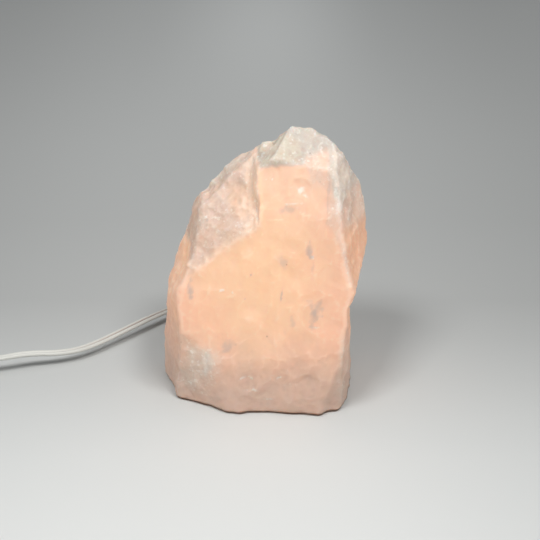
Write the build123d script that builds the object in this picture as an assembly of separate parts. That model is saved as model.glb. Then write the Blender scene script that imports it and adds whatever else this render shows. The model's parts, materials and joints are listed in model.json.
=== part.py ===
from build123d import *
import math
import os

# A table lamp made of one rough block of quartz. The block has a flat sawn base and is bored out
# from below. A small screw bulb stands in the bore on a clip-in holder, and a flat two-core cord
# with an inline switch leaves through a groove in the base. All sizes are in millimetres. The
# lamp stands on z = 0, its front faces -Y, and the origin is in the middle of the block's outline.

# Block of quartz, over all and with its pads
block_width = 130.4
block_depth = 98.9
block_height = 172.0
pad_height = 1.2
sawing_block = 320.0

# Natural faces: name, bearing (0 is the front, 90 the right), lean (up is positive) and the
# distance from the heart of the block, as a share of an egg shape of the block's sizes.
stone_faces = [
    ("front toe", -4, 2, 0.895),
    ("left toe", -29, -6, 1.049),
    ("left", -72, 1, 0.924),
    ("left flank", -88, 2, 0.939),
    ("left shoulder", -82, 22, 0.789),
    ("left slope", -85, 36, 0.855),
    ("right toe", 30, -8, 1.261),
    ("right heel", 66, -3, 1.033),
    ("right bulge", 68, 13, 1.010),
    ("right shoulder", 80, 22, 1.183),
    ("right top", 76, 44, 1.264),
    ("front", -6, 15, 0.681),
    ("front crown", 5, 50, 1.059),
    ("right crown", 85, 70, 1.238),
    ("left crown", -80, 48, 0.836),
    ("back", 178, 8, 0.753),
    ("back left", -140, 10, 0.850),
    ("back right", 128, 3, 0.919),
    ("back top", 170, 32, 0.940),
    ("back left slope", -125, 36, 0.917),
    ("back right slope", 125, 34, 1.152),
]
# Steps: where a piece has broken away, two faces meet in a hollow corner.
stone_steps = [
    (("frosted", -30, 38, 0.701), ("frosted step", -84, 4, 0.145)),
    (("right waist", 88, 2, 0.816), ("right brow", 85, -20, 0.751)),
]
# Shell-shaped chips: centre and radius of the ball that each one follows, as shares of the
# block's width, depth and height, and of its height.
stone_chips = [
    ((-0.008, 0.060, 0.977), 0.070),
    ((-0.583, 0.900, 0.3605), 0.407),
    ((0.659, 0.677, 0.5815), 0.3488),
]

# Bore for the bulb, groove for the cord
bore_radius = 21.0
bore_y = 3.0
bore_top = 101.0
groove_width = 8.0
groove_top = 8.5

# Felt pads under the base, placed by shares of its width and depth
pad_radius = 5.0
pad_places = [(-0.314, -0.132), (0.265, -0.215), (0.255, 0.255), (-0.27, 0.25)]

# Lamp holder
holder_radius = 12.0
holder_bottom = 15.0
holder_cap_height = 9.0
holder_height = 33.0
holder_chamber_radius = 10.0
holder_chamber_height = 3.0
holder_web = 2.4
spigot_wall = 1.2
spigot_height = 2.0
cap_floor = 2.0
neck_radius = 5.4
neck_height = 4.0
fit_clearance = 0.05

# Candelabra screw thread, turned by circles that follow a helix
thread_pitch = 2.54
thread_line_radius = 5.15
ridge_radius = 0.75
groove_round = 0.95
bulb_core_radius = 5.25
shell_bore_radius = 5.5
shell_wall_radius = 6.6
shell_floor = 0.6
shell_rim_below_top = 1.5
shell_hole_radius = 3.2
ridge_start = 5.8
ridge_turns = 4.0

# Contacts in the holder
centre_button_radius = 2.0
centre_button_height = 1.8
contact_stem_radius = 1.0
contact_tail_radius = 1.8
contact_tail_height = 0.6
rivet_offset = 4.35
rivet_head_radius = 1.0
rivet_head_height = 0.5
rivet_stem_radius = 0.7
rivet_tail_radius = 1.4
core_radius = 1.2
core_spread = 1.35

# Spring clip
collar_wall = 0.75
collar_bottom = 30.0
collar_height = 7.0
leaf_width = 8.0
leaf_thickness = 0.5
leaf_foot = 31.0
leaf_bow = 46.0
leaf_tip = 61.0
leaf_tip_reach = 15.5
clip_gap = 0.2
clip_screw_radius = 1.25
clip_screw_depth = 3.0
clip_head_radius = 2.25
clip_head_height = 1.4
slot_width = 0.7
slot_depth = 0.6

# Bulb, measured up from its tip contact
bulb_tip_height = 1.0
bulb_tip_radius = 2.2
bulb_insulator_height = 2.0
bulb_insulator_foot = 3.2
bulb_cap_wall = 0.45
bulb_cap_height = 15.4
bulb_rim_radius = 6.4
bulb_rim_height = 1.6
bulb_neck_radius = 6.0
bulb_neck_height = 2.0
bulb_radius = 11.0
bulb_length = 54.5
glass_wall = 0.8
rolling_gap = 0.06
stem_radius = 2.6
stem_height = 14.0
support_radius = 0.35
support_spread = 4.0
support_height = 12.0
filament_radius = 0.3
filament_rise = 6.0
filament_dip = 1.0

# Cord
cord_width = 5.2
cord_thickness = 2.7
lead_points = [
    (0.0, 3.0, 14.4),
    (0.0, 3.6, 8.6),
    (0.2, 7.4, 4.2),
    (0.5, 14.0, 2.8),
    (-0.4, 24.0, 2.7),
    (0.5, 38.0, 2.8),
    (0.0, 54.0, 2.7),
    (-2.5, 70.0, 2.9),
    (-11.5, 84.0, 3.3),
    (-27.5, 93.0, 4.0),
    (-46.0, 92.0, 4.8),
    (-62.0, 83.5, 5.3),
    (-78.0, 69.5, 5.7),
    (-95.0, 54.0, 5.5),
    (-118.0, 32.0, 4.3),
    (-134.5, 23.0, 5.3),
    (-156.5, 16.5, 8.4),
    (-174.5, 8.0, 8.3),
    (-187.5, 2.4, 8.8),
    (-197.0, 0.0, 9.5),
]
middle_points = [
    (-270.0, 0.0, 9.5),
    (-279.0, 0.6, 7.8),
    (-288.5, 0.7, 4.8),
    (-297.0, 0.0, 3.4),
]
tail_points = [
    (-297.0, 66.15, 9.2),
    (-289.0, 65.3, 8.6),
    (-281.0, 65.1, 7.3),
    (-274.0, 66.0, 7.0),
]

# Spare cord, wound flat on edge in two layers
coil_start = (-303.0, 0.0)
coil_outer_radius = 32.2
coil_pitch = 3.5
coil_layer_rise = 5.8
coil_turns_in = 4
coil_height = 3.4
coil_end_run = 6.5
tie_width = 4.0
tie_thickness = 0.5
tie_gap = 0.3

# Inline switch
switch_start_x = -206.0
switch_length = 58.0
switch_width = 25.0
switch_height = 19.0
switch_corner = 6.0
switch_edge = 2.0
switch_wall = 1.8
shell_joint = 9.5
window_length = 17.0
window_width = 11.2
rocker_end_radius = 8.2
rocker_width = 10.6
rocker_tilt = 12.0
rocker_end_rise = 5.6
rocker_middle_rise = 4.5
rocker_depth = 3.2
rocker_nub_length = 5.4
rocker_nub_radius = 1.1
pivot_height = 14.4
pivot_pin_radius = 0.95
pivot_hole_radius = 1.0
mark_height = 0.25
mark_width = 0.7
mark_length = 4.0
post_offset = 9.5
post_side = 3.0
post_radius = 2.0
post_height = 4.8
contact_leaf_width = 3.6
contact_leaf_thickness = 0.4
switch_screw_x = 15.5
switch_screw_y = 7.6
boss_radius = 2.7
switch_screw_radius = 1.25
switch_screw_length = 13.0
switch_head_radius = 2.3
switch_head_height = 1.5
switch_head_depth = 0.2
screw_end_room = 0.5
through_core_height = 3.4
through_core_y = -3.2
core_straight = 4.0

# Two-pin plug
plug_neck_x = -268.0
plug_y = 66.0
plug_neck_length = 9.0
plug_neck_end_radius = 3.4
plug_neck_radius = 5.0
plug_length = 27.0
plug_width = 24.0
plug_height = 14.0
plug_corner = 4.0
plug_edge = 1.5
blade_gap = 12.7
blade_thickness = 1.5
blade_length = 17.0
blade_root = 8.0
narrow_blade = 6.35
wide_blade = 7.9
blade_hole_radius = 1.6
blade_hole_from_tip = 4.0

# Heights that follow from the sizes above
heart_height = 0.407 * block_height
web_bottom = holder_bottom + holder_cap_height + holder_chamber_height
shell_bottom = web_bottom + holder_web
holder_top = holder_bottom + holder_height
cord_end_height = holder_bottom + neck_height + cap_floor
bulb_bottom = shell_bottom + centre_button_height
bulb_cap_bottom = bulb_bottom + bulb_tip_height + bulb_insulator_height
bulb_glass_bottom = bulb_cap_bottom + bulb_cap_height
bulb_top = bulb_bottom + bulb_length


def at_bore(shape, z=0.0):
    return Pos(0, bore_y, z) * shape


def face_plane(bearing, lean, share):
    turn = math.radians(bearing)
    rise = math.radians(lean)
    outward = Vector(math.cos(rise) * math.sin(turn), -math.cos(rise) * math.cos(turn), math.sin(rise))
    egg_reach = math.hypot(outward.X * block_width, outward.Y * block_depth, outward.Z * block_height) / 2
    return Plane(origin=Vector(0, 0, heart_height) + outward * egg_reach * share, z_dir=outward)


# Quartz block

def rough_block():
    block = Pos(0, 0, sawing_block / 2) * Box(sawing_block, sawing_block, sawing_block)
    for name, bearing, lean, share in stone_faces:
        block = split(block, bisect_by=face_plane(bearing, lean, share), keep=Keep.BOTTOM)
    for pair in stone_steps:
        waste = Box(2 * sawing_block, 2 * sawing_block, 2 * sawing_block)
        for name, bearing, lean, share in pair:
            waste = split(waste, bisect_by=face_plane(bearing, lean, share), keep=Keep.TOP)
        block -= waste
    for (across, along, up), radius in stone_chips:
        # Each ball lies on its side, so that neither of its poles meets a ridge.
        place = Pos(across * block_width, along * block_depth, up * block_height) * Rot(90, 0, 0)
        block -= place * Sphere(radius * block_height)
    middle = block.bounding_box().center()
    return Pos(-middle.X, -middle.Y, 0) * block


def quartz_body():
    below_base = Pos(0, 0, pad_height - sawing_block / 2) * Box(sawing_block, sawing_block, sawing_block)
    straight_top = bore_top - bore_radius
    bore = Pos(0, 0, straight_top / 2) * Cylinder(bore_radius, straight_top)
    bore += Pos(0, 0, straight_top) * Sphere(bore_radius)
    groove = Pos(0, sawing_block / 4, groove_top / 2) * Box(groove_width, sawing_block / 2, groove_top)
    return rough_block() - below_base - at_bore(bore) - at_bore(groove)


def base_pads():
    pads = []
    for across, along in pad_places:
        place = Pos(across * block_width, along * block_depth, pad_height / 2)
        pads.append(place * Cylinder(pad_radius, pad_height))
    return Compound(children=pads)


# Lamp holder

def upright(radius, bottom, top):
    return at_bore(Pos(0, 0, (bottom + top) / 2) * Cylinder(radius, top - bottom))


def clip_screw_places():
    height = collar_bottom + collar_height / 2
    for side in (-1, 1):
        yield Pos(0, bore_y + side * holder_radius, height) * Rot(side * -90, 0, 0)


def holder_body():
    joint = holder_bottom + holder_cap_height
    body = upright(holder_radius, joint, holder_top)
    body -= upright(holder_chamber_radius + fit_clearance, joint, web_bottom)
    body -= upright(shell_wall_radius + fit_clearance, shell_bottom, holder_top)
    body -= upright(contact_stem_radius + fit_clearance, web_bottom, shell_bottom)
    rivet_hole = upright(rivet_stem_radius + fit_clearance, web_bottom, shell_bottom)
    body -= Pos(rivet_offset, 0, 0) * rivet_hole
    for place in clip_screw_places():
        body -= place * Pos(0, 0, -clip_screw_depth / 2) * Cylinder(clip_screw_radius, clip_screw_depth)
    return body


def holder_cap():
    joint = holder_bottom + holder_cap_height
    cap = upright(holder_radius, holder_bottom + neck_height, joint)
    cap += upright(neck_radius, holder_bottom, holder_bottom + neck_height)
    cap += upright(holder_chamber_radius, joint, joint + spigot_height)
    cap -= upright(holder_chamber_radius - spigot_wall, cord_end_height, joint + spigot_height)
    return cap - upright(cord_width / 2 + fit_clearance, holder_bottom, cord_end_height)


def round_thread(radius, bottom, turns, overlap_bottom=0.0):
    start_turn = -360 * overlap_bottom / thread_pitch
    path = Helix(thread_pitch, thread_pitch * turns + overlap_bottom, thread_line_radius)
    section = Plane(origin=path @ 0, z_dir=path % 0) * Circle(radius)
    coil = sweep(section, path=path, is_frenet=True)
    return at_bore(Rot(0, 0, start_turn) * coil, bottom - overlap_bottom)


def screw_shell():
    top = holder_top - shell_rim_below_top
    ridge_bottom = shell_bottom + ridge_start
    turns = (top - ridge_bottom) / thread_pitch + 1
    threaded_bore = upright(shell_bore_radius, shell_bottom + shell_floor, holder_top + thread_pitch)
    threaded_bore += round_thread(groove_round, ridge_bottom, turns, thread_pitch / 2)
    shell = upright(shell_wall_radius, shell_bottom, top) - threaded_bore
    shell -= upright(shell_hole_radius, shell_bottom, shell_bottom + shell_floor)
    shell -= Pos(rivet_offset, 0, 0) * upright(
        rivet_stem_radius + fit_clearance, shell_bottom, shell_bottom + shell_floor)
    return shell


def centre_contact():
    contact = upright(centre_button_radius, shell_bottom, shell_bottom + centre_button_height)
    contact += upright(contact_stem_radius, web_bottom, shell_bottom)
    return contact + upright(contact_tail_radius, web_bottom - contact_tail_height, web_bottom)


def shell_rivet():
    head_bottom = shell_bottom + shell_floor
    rivet = upright(rivet_head_radius, head_bottom, head_bottom + rivet_head_height)
    rivet += upright(rivet_stem_radius, web_bottom, head_bottom)
    rivet += upright(rivet_tail_radius, web_bottom - contact_tail_height, web_bottom)
    return Pos(rivet_offset, 0, 0) * rivet


def tube(points, radius):
    path = Polyline(*points)
    start = Plane(origin=path @ 0, z_dir=path % 0)
    return sweep(start * Circle(radius), path=path, transition=Transition.ROUND)


def holder_wires():
    top = web_bottom - contact_tail_height
    wires = []
    for near, far in ((-core_spread, -core_spread / 2), (core_spread, rivet_offset)):
        points = [(near, bore_y, cord_end_height), (near, bore_y, cord_end_height + core_radius),
                  (far, bore_y, top - core_radius), (far, bore_y, top)]
        wires.append(tube(points, core_radius))
    return Compound(children=wires)


# Spring clip that grips the wall of the bore

def clip_leaf():
    foot = (holder_radius + collar_wall / 2, leaf_foot)
    reach = math.sqrt((bore_radius - clip_gap) ** 2 - (leaf_width / 2) ** 2)
    bow = (reach - leaf_thickness / 2, leaf_bow)
    tip = (leaf_tip_reach, leaf_tip)
    strip = trace(ThreePointArc(foot, bow, tip), leaf_thickness)
    return extrude(Plane.XZ * strip, amount=leaf_width / 2, both=True)


def spring_clip():
    collar_top = collar_bottom + collar_height
    inner = upright(holder_radius + fit_clearance, collar_bottom, collar_top)
    clip = upright(holder_radius + collar_wall, collar_bottom, collar_top)
    for turn in (0, 180):
        clip += at_bore(Rot(0, 0, turn) * clip_leaf())
    clip -= inner
    for place in clip_screw_places():
        clip -= place * Cylinder(clip_screw_radius + fit_clearance, 4 * collar_wall)
    return clip


def clip_screws():
    screws = []
    for place in clip_screw_places():
        shank = Pos(0, 0, (collar_wall - clip_screw_depth) / 2) * Cylinder(
            clip_screw_radius, clip_screw_depth + collar_wall)
        head = Pos(0, 0, collar_wall + clip_head_height / 2) * Cylinder(clip_head_radius, clip_head_height)
        slot = Pos(0, 0, collar_wall + clip_head_height) * Box(
            2 * clip_head_radius, slot_width, 2 * slot_depth)
        screws.append(place * (shank + head - slot))
    return Compound(children=screws)


# Bulb

def bulb_tip():
    return upright(bulb_tip_radius, bulb_bottom, bulb_bottom + bulb_tip_height)


def bulb_insulator():
    bottom = bulb_bottom + bulb_tip_height
    cone = Pos(0, 0, bulb_insulator_height / 2) * Cone(
        bulb_insulator_foot, bulb_core_radius, bulb_insulator_height)
    return at_bore(cone, bottom)


def bulb_screw_cap():
    top = bulb_glass_bottom - rolling_gap
    cap = upright(bulb_core_radius, bulb_cap_bottom, top)
    cap += upright(bulb_rim_radius, top - bulb_rim_height, top)
    cap -= upright(bulb_core_radius - bulb_cap_wall, bulb_cap_bottom + bulb_cap_wall, top)
    return cap + round_thread(ridge_radius, shell_bottom + ridge_start, ridge_turns)


def bulb_outline(inset, bottom):
    neck = bulb_neck_radius - inset
    wide = bulb_radius - inset
    top = bulb_top - inset
    neck_top = bulb_glass_bottom + bulb_neck_height
    widest = bulb_top - bulb_radius
    with BuildPart() as bulb:
        with BuildSketch(Plane.XZ):
            with BuildLine():
                dome = RadiusArc((0, top), (wide, widest), wide)
                flank = TangentArc(dome @ 1, (neck, neck_top), tangent=(0, -1))
                Polyline(flank @ 1, (neck, bottom), (0, bottom), (0, top))
            make_face()
        revolve(axis=Axis.Z)
    return at_bore(bulb.part)


def bulb_glass():
    return bulb_outline(0, bulb_glass_bottom) - bulb_outline(glass_wall, bulb_glass_bottom - glass_wall)


def bulb_stem():
    bottom = bulb_glass_bottom - rolling_gap - bulb_rim_height
    stem = upright(bulb_core_radius - bulb_cap_wall, bottom, bottom + bulb_rim_height)
    return stem + upright(stem_radius, bottom, bottom + stem_height)


def stem_top():
    return bulb_glass_bottom - rolling_gap - bulb_rim_height + stem_height


def support_wires():
    wires = []
    for side in (-1, 1):
        points = [(side * stem_radius / 2, bore_y, stem_top()),
                  (side * stem_radius / 2, bore_y, stem_top() + support_height / 4),
                  (side * support_spread, bore_y, stem_top() + support_height / 2),
                  (side * support_spread, bore_y, stem_top() + support_height)]
        wires.append(tube(points, support_radius))
    return Compound(children=wires)


def filament():
    base = stem_top() + support_height + filament_radius
    points = [(-support_spread, bore_y, base), (-support_spread / 2, bore_y, base + filament_rise),
              (0, bore_y, base + filament_dip), (support_spread / 2, bore_y, base + filament_rise),
              (support_spread, bore_y, base)]
    return tube(points, filament_radius)


# Cord

def corner_radii(points, title):
    radii = []
    for before, corner, after in zip(points, points[1:], points[2:]):
        first = Vector(*corner) - Vector(*before)
        second = Vector(*after) - Vector(*corner)
        half_turn = math.radians(first.get_angle(second)) / 2
        radii.append(0.45 * min(first.length, second.length) / math.tan(half_turn))
    print(title, "radii", [round(radius, 1) for radius in radii])
    return radii


def cord_stretch(points, title):
    path = FilletPolyline(*points, radius=corner_radii(points, title))
    start = Plane(origin=path @ 0, z_dir=path % 0)
    solid = sweep(start * Circle(cord_width / 2), path=path)
    expected = math.pi * cord_width ** 2 / 4 * path.length
    print(title, "length", round(path.length, 1), "volume", round(solid.volume / expected, 4))
    return solid, path.length


def lead_route():
    start = (0.0, bore_y, cord_end_height)
    end = (switch_start_x - switch_wall, 0.0, shell_joint)
    return [start] + lead_points + [end]


def middle_route():
    start = (switch_start_x - switch_length + switch_wall, 0.0, shell_joint)
    return [start] + middle_points + [(coil_start[0], coil_start[1], coil_height)]


def tail_route():
    start = coil_knots()[-1]
    start = (start[0] + coil_end_run, start[1], start[2])
    return [start] + tail_points + [(plug_neck_x, plug_y, plug_height / 2)]


def coil_knots():
    # The coil's half turns begin and end on the line through its centre along Y.
    centre_y = coil_start[1] + coil_outer_radius
    x = coil_start[0] - coil_end_run
    knots = []
    half_turns = 4 * coil_turns_in + 1
    climb_end = 2 * coil_turns_in + 1
    for step in range(half_turns + 1):
        # The second layer starts one pitch further out, so that the climb passes inside it.
        turned_in = step if step <= climb_end else half_turns - 1 - step
        distance = coil_outer_radius - turned_in * coil_pitch / 2
        side = -1 if step % 2 == 0 else 1
        layer = 0 if step < climb_end else 1
        knots.append((x, centre_y + side * distance, coil_height + layer * coil_layer_rise))
    return knots


def half_turn_arcs(start, end, heading):
    # Two arcs of a quarter turn each. They meet halfway, with one tangent.
    start, end = Vector(*start), Vector(*end)
    reach = (end - start).length / 2
    first_corner = start + heading * reach
    second_corner = end + heading * reach
    middle = (first_corner + second_corner) * 0.5
    first = TangentArc(start, middle, tangent=heading)
    return [first, TangentArc(middle, end, tangent=second_corner - first_corner)]


def cord_coil():
    knots = coil_knots()
    edges = [Line((coil_start[0], coil_start[1], coil_height), knots[0])]
    for step, (start, end) in enumerate(zip(knots, knots[1:])):
        heading = Vector(-1, 0, 0) if step % 2 == 0 else Vector(1, 0, 0)
        edges += half_turn_arcs(start, end, heading)
    last = knots[-1]
    edges.append(Line(last, (last[0] + coil_end_run, last[1], last[2])))
    path = Wire([curve.edge() for curve in edges])
    section = Plane(origin=path @ 0, x_dir=(0, 1, 0), z_dir=path % 0) * Rectangle(
        cord_thickness, cord_width)
    coil = sweep(section, path=path)
    print_coil_gap(path)
    expected = cord_thickness * cord_width * path.length
    print("coil length", round(path.length, 1), "volume", round(coil.volume / expected, 4))
    return coil, path.length


def print_coil_gap(path):
    # The least gap between turns, from boxes of the cord's section at points along the path.
    count = int(path.length / 3)
    points = [path.position_at(i / count) for i in range(count + 1)]
    least = coil_outer_radius
    for i, one in enumerate(points):
        for other in points[i + 10:]:
            apart = math.hypot(one.X - other.X, one.Y - other.Y)
            aside = max(apart - cord_thickness, 0)
            above = max(abs(one.Z - other.Z) - cord_width, 0)
            least = min(least, math.hypot(aside, above))
    print("coil least gap to itself", round(least, 2))


def cord_ties():
    # Each band goes round the bundle of turns, on the coil's left and right sides.
    knots = coil_knots()
    centre_y = coil_start[1] + coil_outer_radius
    half_steps = [abs(y - centre_y) for x, y, z in knots]
    inner = min(half_steps) - cord_thickness / 2 - tie_gap
    outer = max(half_steps) + cord_thickness / 2 + tie_gap
    bottom = coil_height - cord_width / 2 - tie_gap
    top = coil_height + coil_layer_rise + cord_width / 2 + tie_gap
    ties = []
    for side in (-1, 1):
        opening = Rectangle(outer - inner, top - bottom)
        band = Rectangle(outer - inner + 2 * tie_thickness, top - bottom + 2 * tie_thickness)
        ring = fillet(band.vertices(), tie_thickness * 3) - opening
        solid = extrude(Plane.XZ * ring, amount=tie_width / 2, both=True)
        x = knots[0][0] + side * (inner + outer) / 2
        ties.append(Pos(x, centre_y, (bottom + top) / 2) * solid)
    return Compound(children=ties)


# Inline switch, drawn with its middle at x = 0 and y = 0

def switch_place():
    return Pos(switch_start_x - switch_length / 2, 0, 0)


def switch_block(inset):
    sketch = RectangleRounded(switch_length - 2 * inset, switch_width - 2 * inset, switch_corner - inset)
    block = Pos(0, 0, inset) * extrude(sketch, amount=switch_height - 2 * inset)
    flat_edges = block.faces().sort_by(Axis.Z)[0].edges() + block.faces().sort_by(Axis.Z)[-1].edges()
    return fillet(flat_edges, switch_edge) if inset == 0 else block


def switch_screw_sides():
    return [Pos(side * switch_screw_x, switch_screw_y, 0) for side in (-1, 1)]


def standing(radius, bottom, top):
    return Pos(0, 0, (bottom + top) / 2) * Cylinder(radius, top - bottom)


def switch_halves():
    hollow = switch_block(switch_wall)
    for place in switch_screw_sides():
        hollow -= place * standing(boss_radius, 0, switch_height)
    cord_way = Rot(0, 90, 0) * Cylinder(cord_width / 2 + fit_clearance, switch_length)
    cord_way = Pos(0, 0, shell_joint) * cord_way
    body = switch_block(0) - hollow - cord_way
    joint = Plane.XY.offset(shell_joint)
    return split(body, bisect_by=joint, keep=Keep.BOTTOM), split(body, bisect_by=joint, keep=Keep.TOP)


def switch_lower_shell():
    lower, upper = switch_halves()
    for place in switch_screw_sides():
        lower -= place * standing(switch_screw_radius + fit_clearance, 0, shell_joint)
        lower -= place * standing(switch_head_radius + fit_clearance, 0, switch_head_height)
    return lower


def switch_upper_shell():
    lower, upper = switch_halves()
    cheek = (switch_width - window_width) / 2 - switch_wall
    cheek_bottom = pivot_height - 2 * pivot_hole_radius
    for side in (-1, 1):
        y = side * (window_width + cheek) / 2
        height = switch_height - switch_wall - cheek_bottom
        upper += Pos(0, y, cheek_bottom + height / 2) * Box(window_length / 2, cheek, height)
    upper -= Pos(0, 0, switch_height) * Box(window_length, window_width, 4 * switch_wall)
    upper -= Pos(0, 0, pivot_height) * Rot(90, 0, 0) * Cylinder(
        pivot_pin_radius + fit_clearance, switch_width - 2 * switch_wall)
    for place in switch_screw_sides():
        upper -= place * standing(switch_screw_radius, shell_joint, switch_screw_length)
    return upper


def rocker_pin():
    length = switch_width - 2 * switch_wall - 2 * fit_clearance
    return Pos(0, 0, pivot_height) * Rot(90, 0, 0) * Cylinder(pivot_pin_radius, length)


def switch_rocker():
    # Drawn level about its pivot, then tilted to its rest position, which is on.
    reach = rocker_end_radius
    end_x = math.sqrt(reach ** 2 - rocker_end_rise ** 2)
    foot_x = math.sqrt(reach ** 2 - rocker_depth ** 2)
    with BuildPart() as rocker:
        with BuildSketch(Plane.XZ):
            with BuildLine():
                Polyline((-end_x, rocker_end_rise), (0, rocker_middle_rise), (end_x, rocker_end_rise))
                ThreePointArc((end_x, rocker_end_rise), (reach, 0), (foot_x, -rocker_depth))
                Line((foot_x, -rocker_depth), (-foot_x, -rocker_depth))
                ThreePointArc((-foot_x, -rocker_depth), (-reach, 0), (-end_x, rocker_end_rise))
            make_face()
        extrude(amount=rocker_width / 2, both=True)
    body = rocker.part
    nub_length = rocker_nub_length - rocker_depth
    body += Pos(0, 0, -rocker_depth - nub_length / 2) * Cylinder(rocker_nub_radius, nub_length)
    body += rocker_marks(end_x)
    body -= Rot(90, 0, 0) * Cylinder(pivot_hole_radius, rocker_width)
    return Pos(0, 0, pivot_height) * Rot(0, rocker_tilt, 0) * body


def rocker_marks(end_x):
    # Raised I and O on the two slopes of the rocker's top.
    slope = math.degrees(math.atan2(rocker_end_rise - rocker_middle_rise, end_x))
    half_way = (rocker_end_rise + rocker_middle_rise) / 2
    stroke = Box(mark_width, mark_length, 2 * mark_height)
    ring = Cylinder(mark_length / 2, 2 * mark_height)
    ring -= Cylinder(mark_length / 2 - mark_width, 2 * mark_height)
    on_mark = Pos(end_x / 2, 0, half_way) * Rot(0, -slope, 0) * stroke
    off_mark = Pos(-end_x / 2, 0, half_way) * Rot(0, slope, 0) * ring
    return on_mark + off_mark


def switch_posts():
    bottom = switch_wall
    posts = [Pos(side * post_offset, post_side, 0) * standing(post_radius, bottom, bottom + post_height)
             for side in (-1, 1)]
    return Compound(children=posts)


def switch_contact_leaf():
    z = switch_wall + post_height + contact_leaf_thickness / 2
    return Pos(0, post_side, z) * Box(
        2 * (post_offset + post_radius), contact_leaf_width, contact_leaf_thickness)


def switch_cores():
    inner_end = switch_length / 2 - switch_wall
    bend = inner_end - core_straight
    floor_end = post_offset + core_straight
    through = [(-inner_end, -core_spread, shell_joint), (-bend, -core_spread, shell_joint),
               (-floor_end, through_core_y, through_core_height),
               (floor_end, through_core_y, through_core_height),
               (bend, -core_spread, shell_joint), (inner_end, -core_spread, shell_joint)]
    cores = [tube(through, core_radius)]
    post_face = post_offset + post_radius
    post_middle = switch_wall + post_height / 2
    for side in (-1, 1):
        points = [(side * inner_end, core_spread, shell_joint),
                  (side * bend, core_spread, shell_joint),
                  (side * (post_face + core_straight), post_side, post_middle),
                  (side * post_face, post_side, post_middle)]
        cores.append(tube(points, core_radius))
    return Compound(children=cores)


def switch_screws():
    screws = []
    for place in switch_screw_sides():
        shank = standing(switch_screw_radius, switch_head_height / 2, switch_screw_length - screw_end_room)
        head = standing(switch_head_radius, switch_head_depth, switch_head_height)
        slot = Pos(0, 0, switch_head_depth) * Box(2 * switch_head_radius, slot_width, 2 * slot_depth)
        screws.append(place * (shank + head - slot))
    return Compound(children=screws)


# Two-pin plug, drawn from the end of its neck along +X

def plug_place():
    return Pos(plug_neck_x, plug_y, plug_height / 2)


def plug_body():
    sketch = RectangleRounded(plug_length, plug_width, plug_corner)
    block = Pos(0, 0, -plug_height / 2) * extrude(sketch, amount=plug_height)
    flat_edges = block.faces().sort_by(Axis.Z)[0].edges() + block.faces().sort_by(Axis.Z)[-1].edges()
    block = Pos(plug_neck_length + plug_length / 2, 0, 0) * fillet(flat_edges, plug_edge)
    neck_end = plug_neck_length + plug_edge
    neck = Pos(neck_end / 2, 0, 0) * Rot(0, 90, 0) * Cone(plug_neck_end_radius, plug_neck_radius, neck_end)
    body = block + neck
    for side, width in blade_sides():
        body -= Pos(0, side * blade_gap / 2, 0) * blade_bar(width, fit_clearance)
    return plug_place() * body


def blade_sides():
    return [(-1, narrow_blade), (1, wide_blade)]


def blade_bar(width, clearance=0.0):
    length = blade_root + blade_length
    x = plug_neck_length + plug_length - blade_root + length / 2
    room = 2 * clearance
    return Pos(x, 0, 0) * Box(length + room, blade_thickness + room, width + room)


def plug_blade(side, width):
    tip = plug_neck_length + plug_length + blade_length
    bar = blade_bar(width)
    bar = chamfer(bar.faces().sort_by(Axis.X)[-1].edges(), blade_thickness / 4)
    hole = Pos(tip - blade_hole_from_tip, 0, 0) * Rot(90, 0, 0) * Cylinder(blade_hole_radius, 2 * blade_gap)
    return plug_place() * Pos(0, side * blade_gap / 2, 0) * (bar - hole)


def save(name, shape):
    export_step(shape, "parts/" + name + ".step")


def main():
    os.makedirs("parts", exist_ok=True)
    lead, lead_length = cord_stretch(lead_route(), "lead")
    middle, middle_length = cord_stretch(middle_route(), "middle")
    tail, tail_length = cord_stretch(tail_route(), "tail")
    coil, coil_length = cord_coil()
    inside_switch = switch_length - 2 * switch_wall
    whole = lead_length + inside_switch + middle_length + coil_length + tail_length
    print("cord length", round(whole))

    save("quartz_body", quartz_body())
    save("base_pads", base_pads())
    save("holder_body", holder_body())
    save("holder_cap", holder_cap())
    save("holder_screw_shell", screw_shell())
    save("holder_centre_contact", centre_contact())
    save("holder_shell_rivet", shell_rivet())
    save("holder_wires", holder_wires())
    save("spring_clip", spring_clip())
    save("clip_screws", clip_screws())
    save("bulb_tip_contact", bulb_tip())
    save("bulb_insulator", bulb_insulator())
    save("bulb_screw_cap", bulb_screw_cap())
    save("bulb_glass", bulb_glass())
    save("bulb_stem", bulb_stem())
    save("bulb_support_wires", support_wires())
    save("bulb_filament", filament())
    save("cord_lead", lead)
    save("cord_middle", middle)
    save("cord_tail", tail)
    save("cord_coil", coil)
    save("cord_ties", cord_ties())
    save("switch_lower_shell", switch_place() * switch_lower_shell())
    save("switch_upper_shell", switch_place() * switch_upper_shell())
    save("switch_rocker", switch_place() * switch_rocker())
    save("switch_rocker_pin", switch_place() * rocker_pin())
    save("switch_posts", switch_place() * switch_posts())
    save("switch_contact_leaf", switch_place() * switch_contact_leaf())
    save("switch_cores", switch_place() * switch_cores())
    save("switch_screws", switch_place() * switch_screws())
    save("plug_body", plug_body())
    save("plug_narrow_blade", plug_blade(*blade_sides()[0]))
    save("plug_wide_blade", plug_blade(*blade_sides()[1]))


main()
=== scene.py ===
import bmesh
import bpy
import json
import math
import numpy as np
import random
from mathutils import Matrix, Vector
from mathutils.bvhtree import BVHTree


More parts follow.
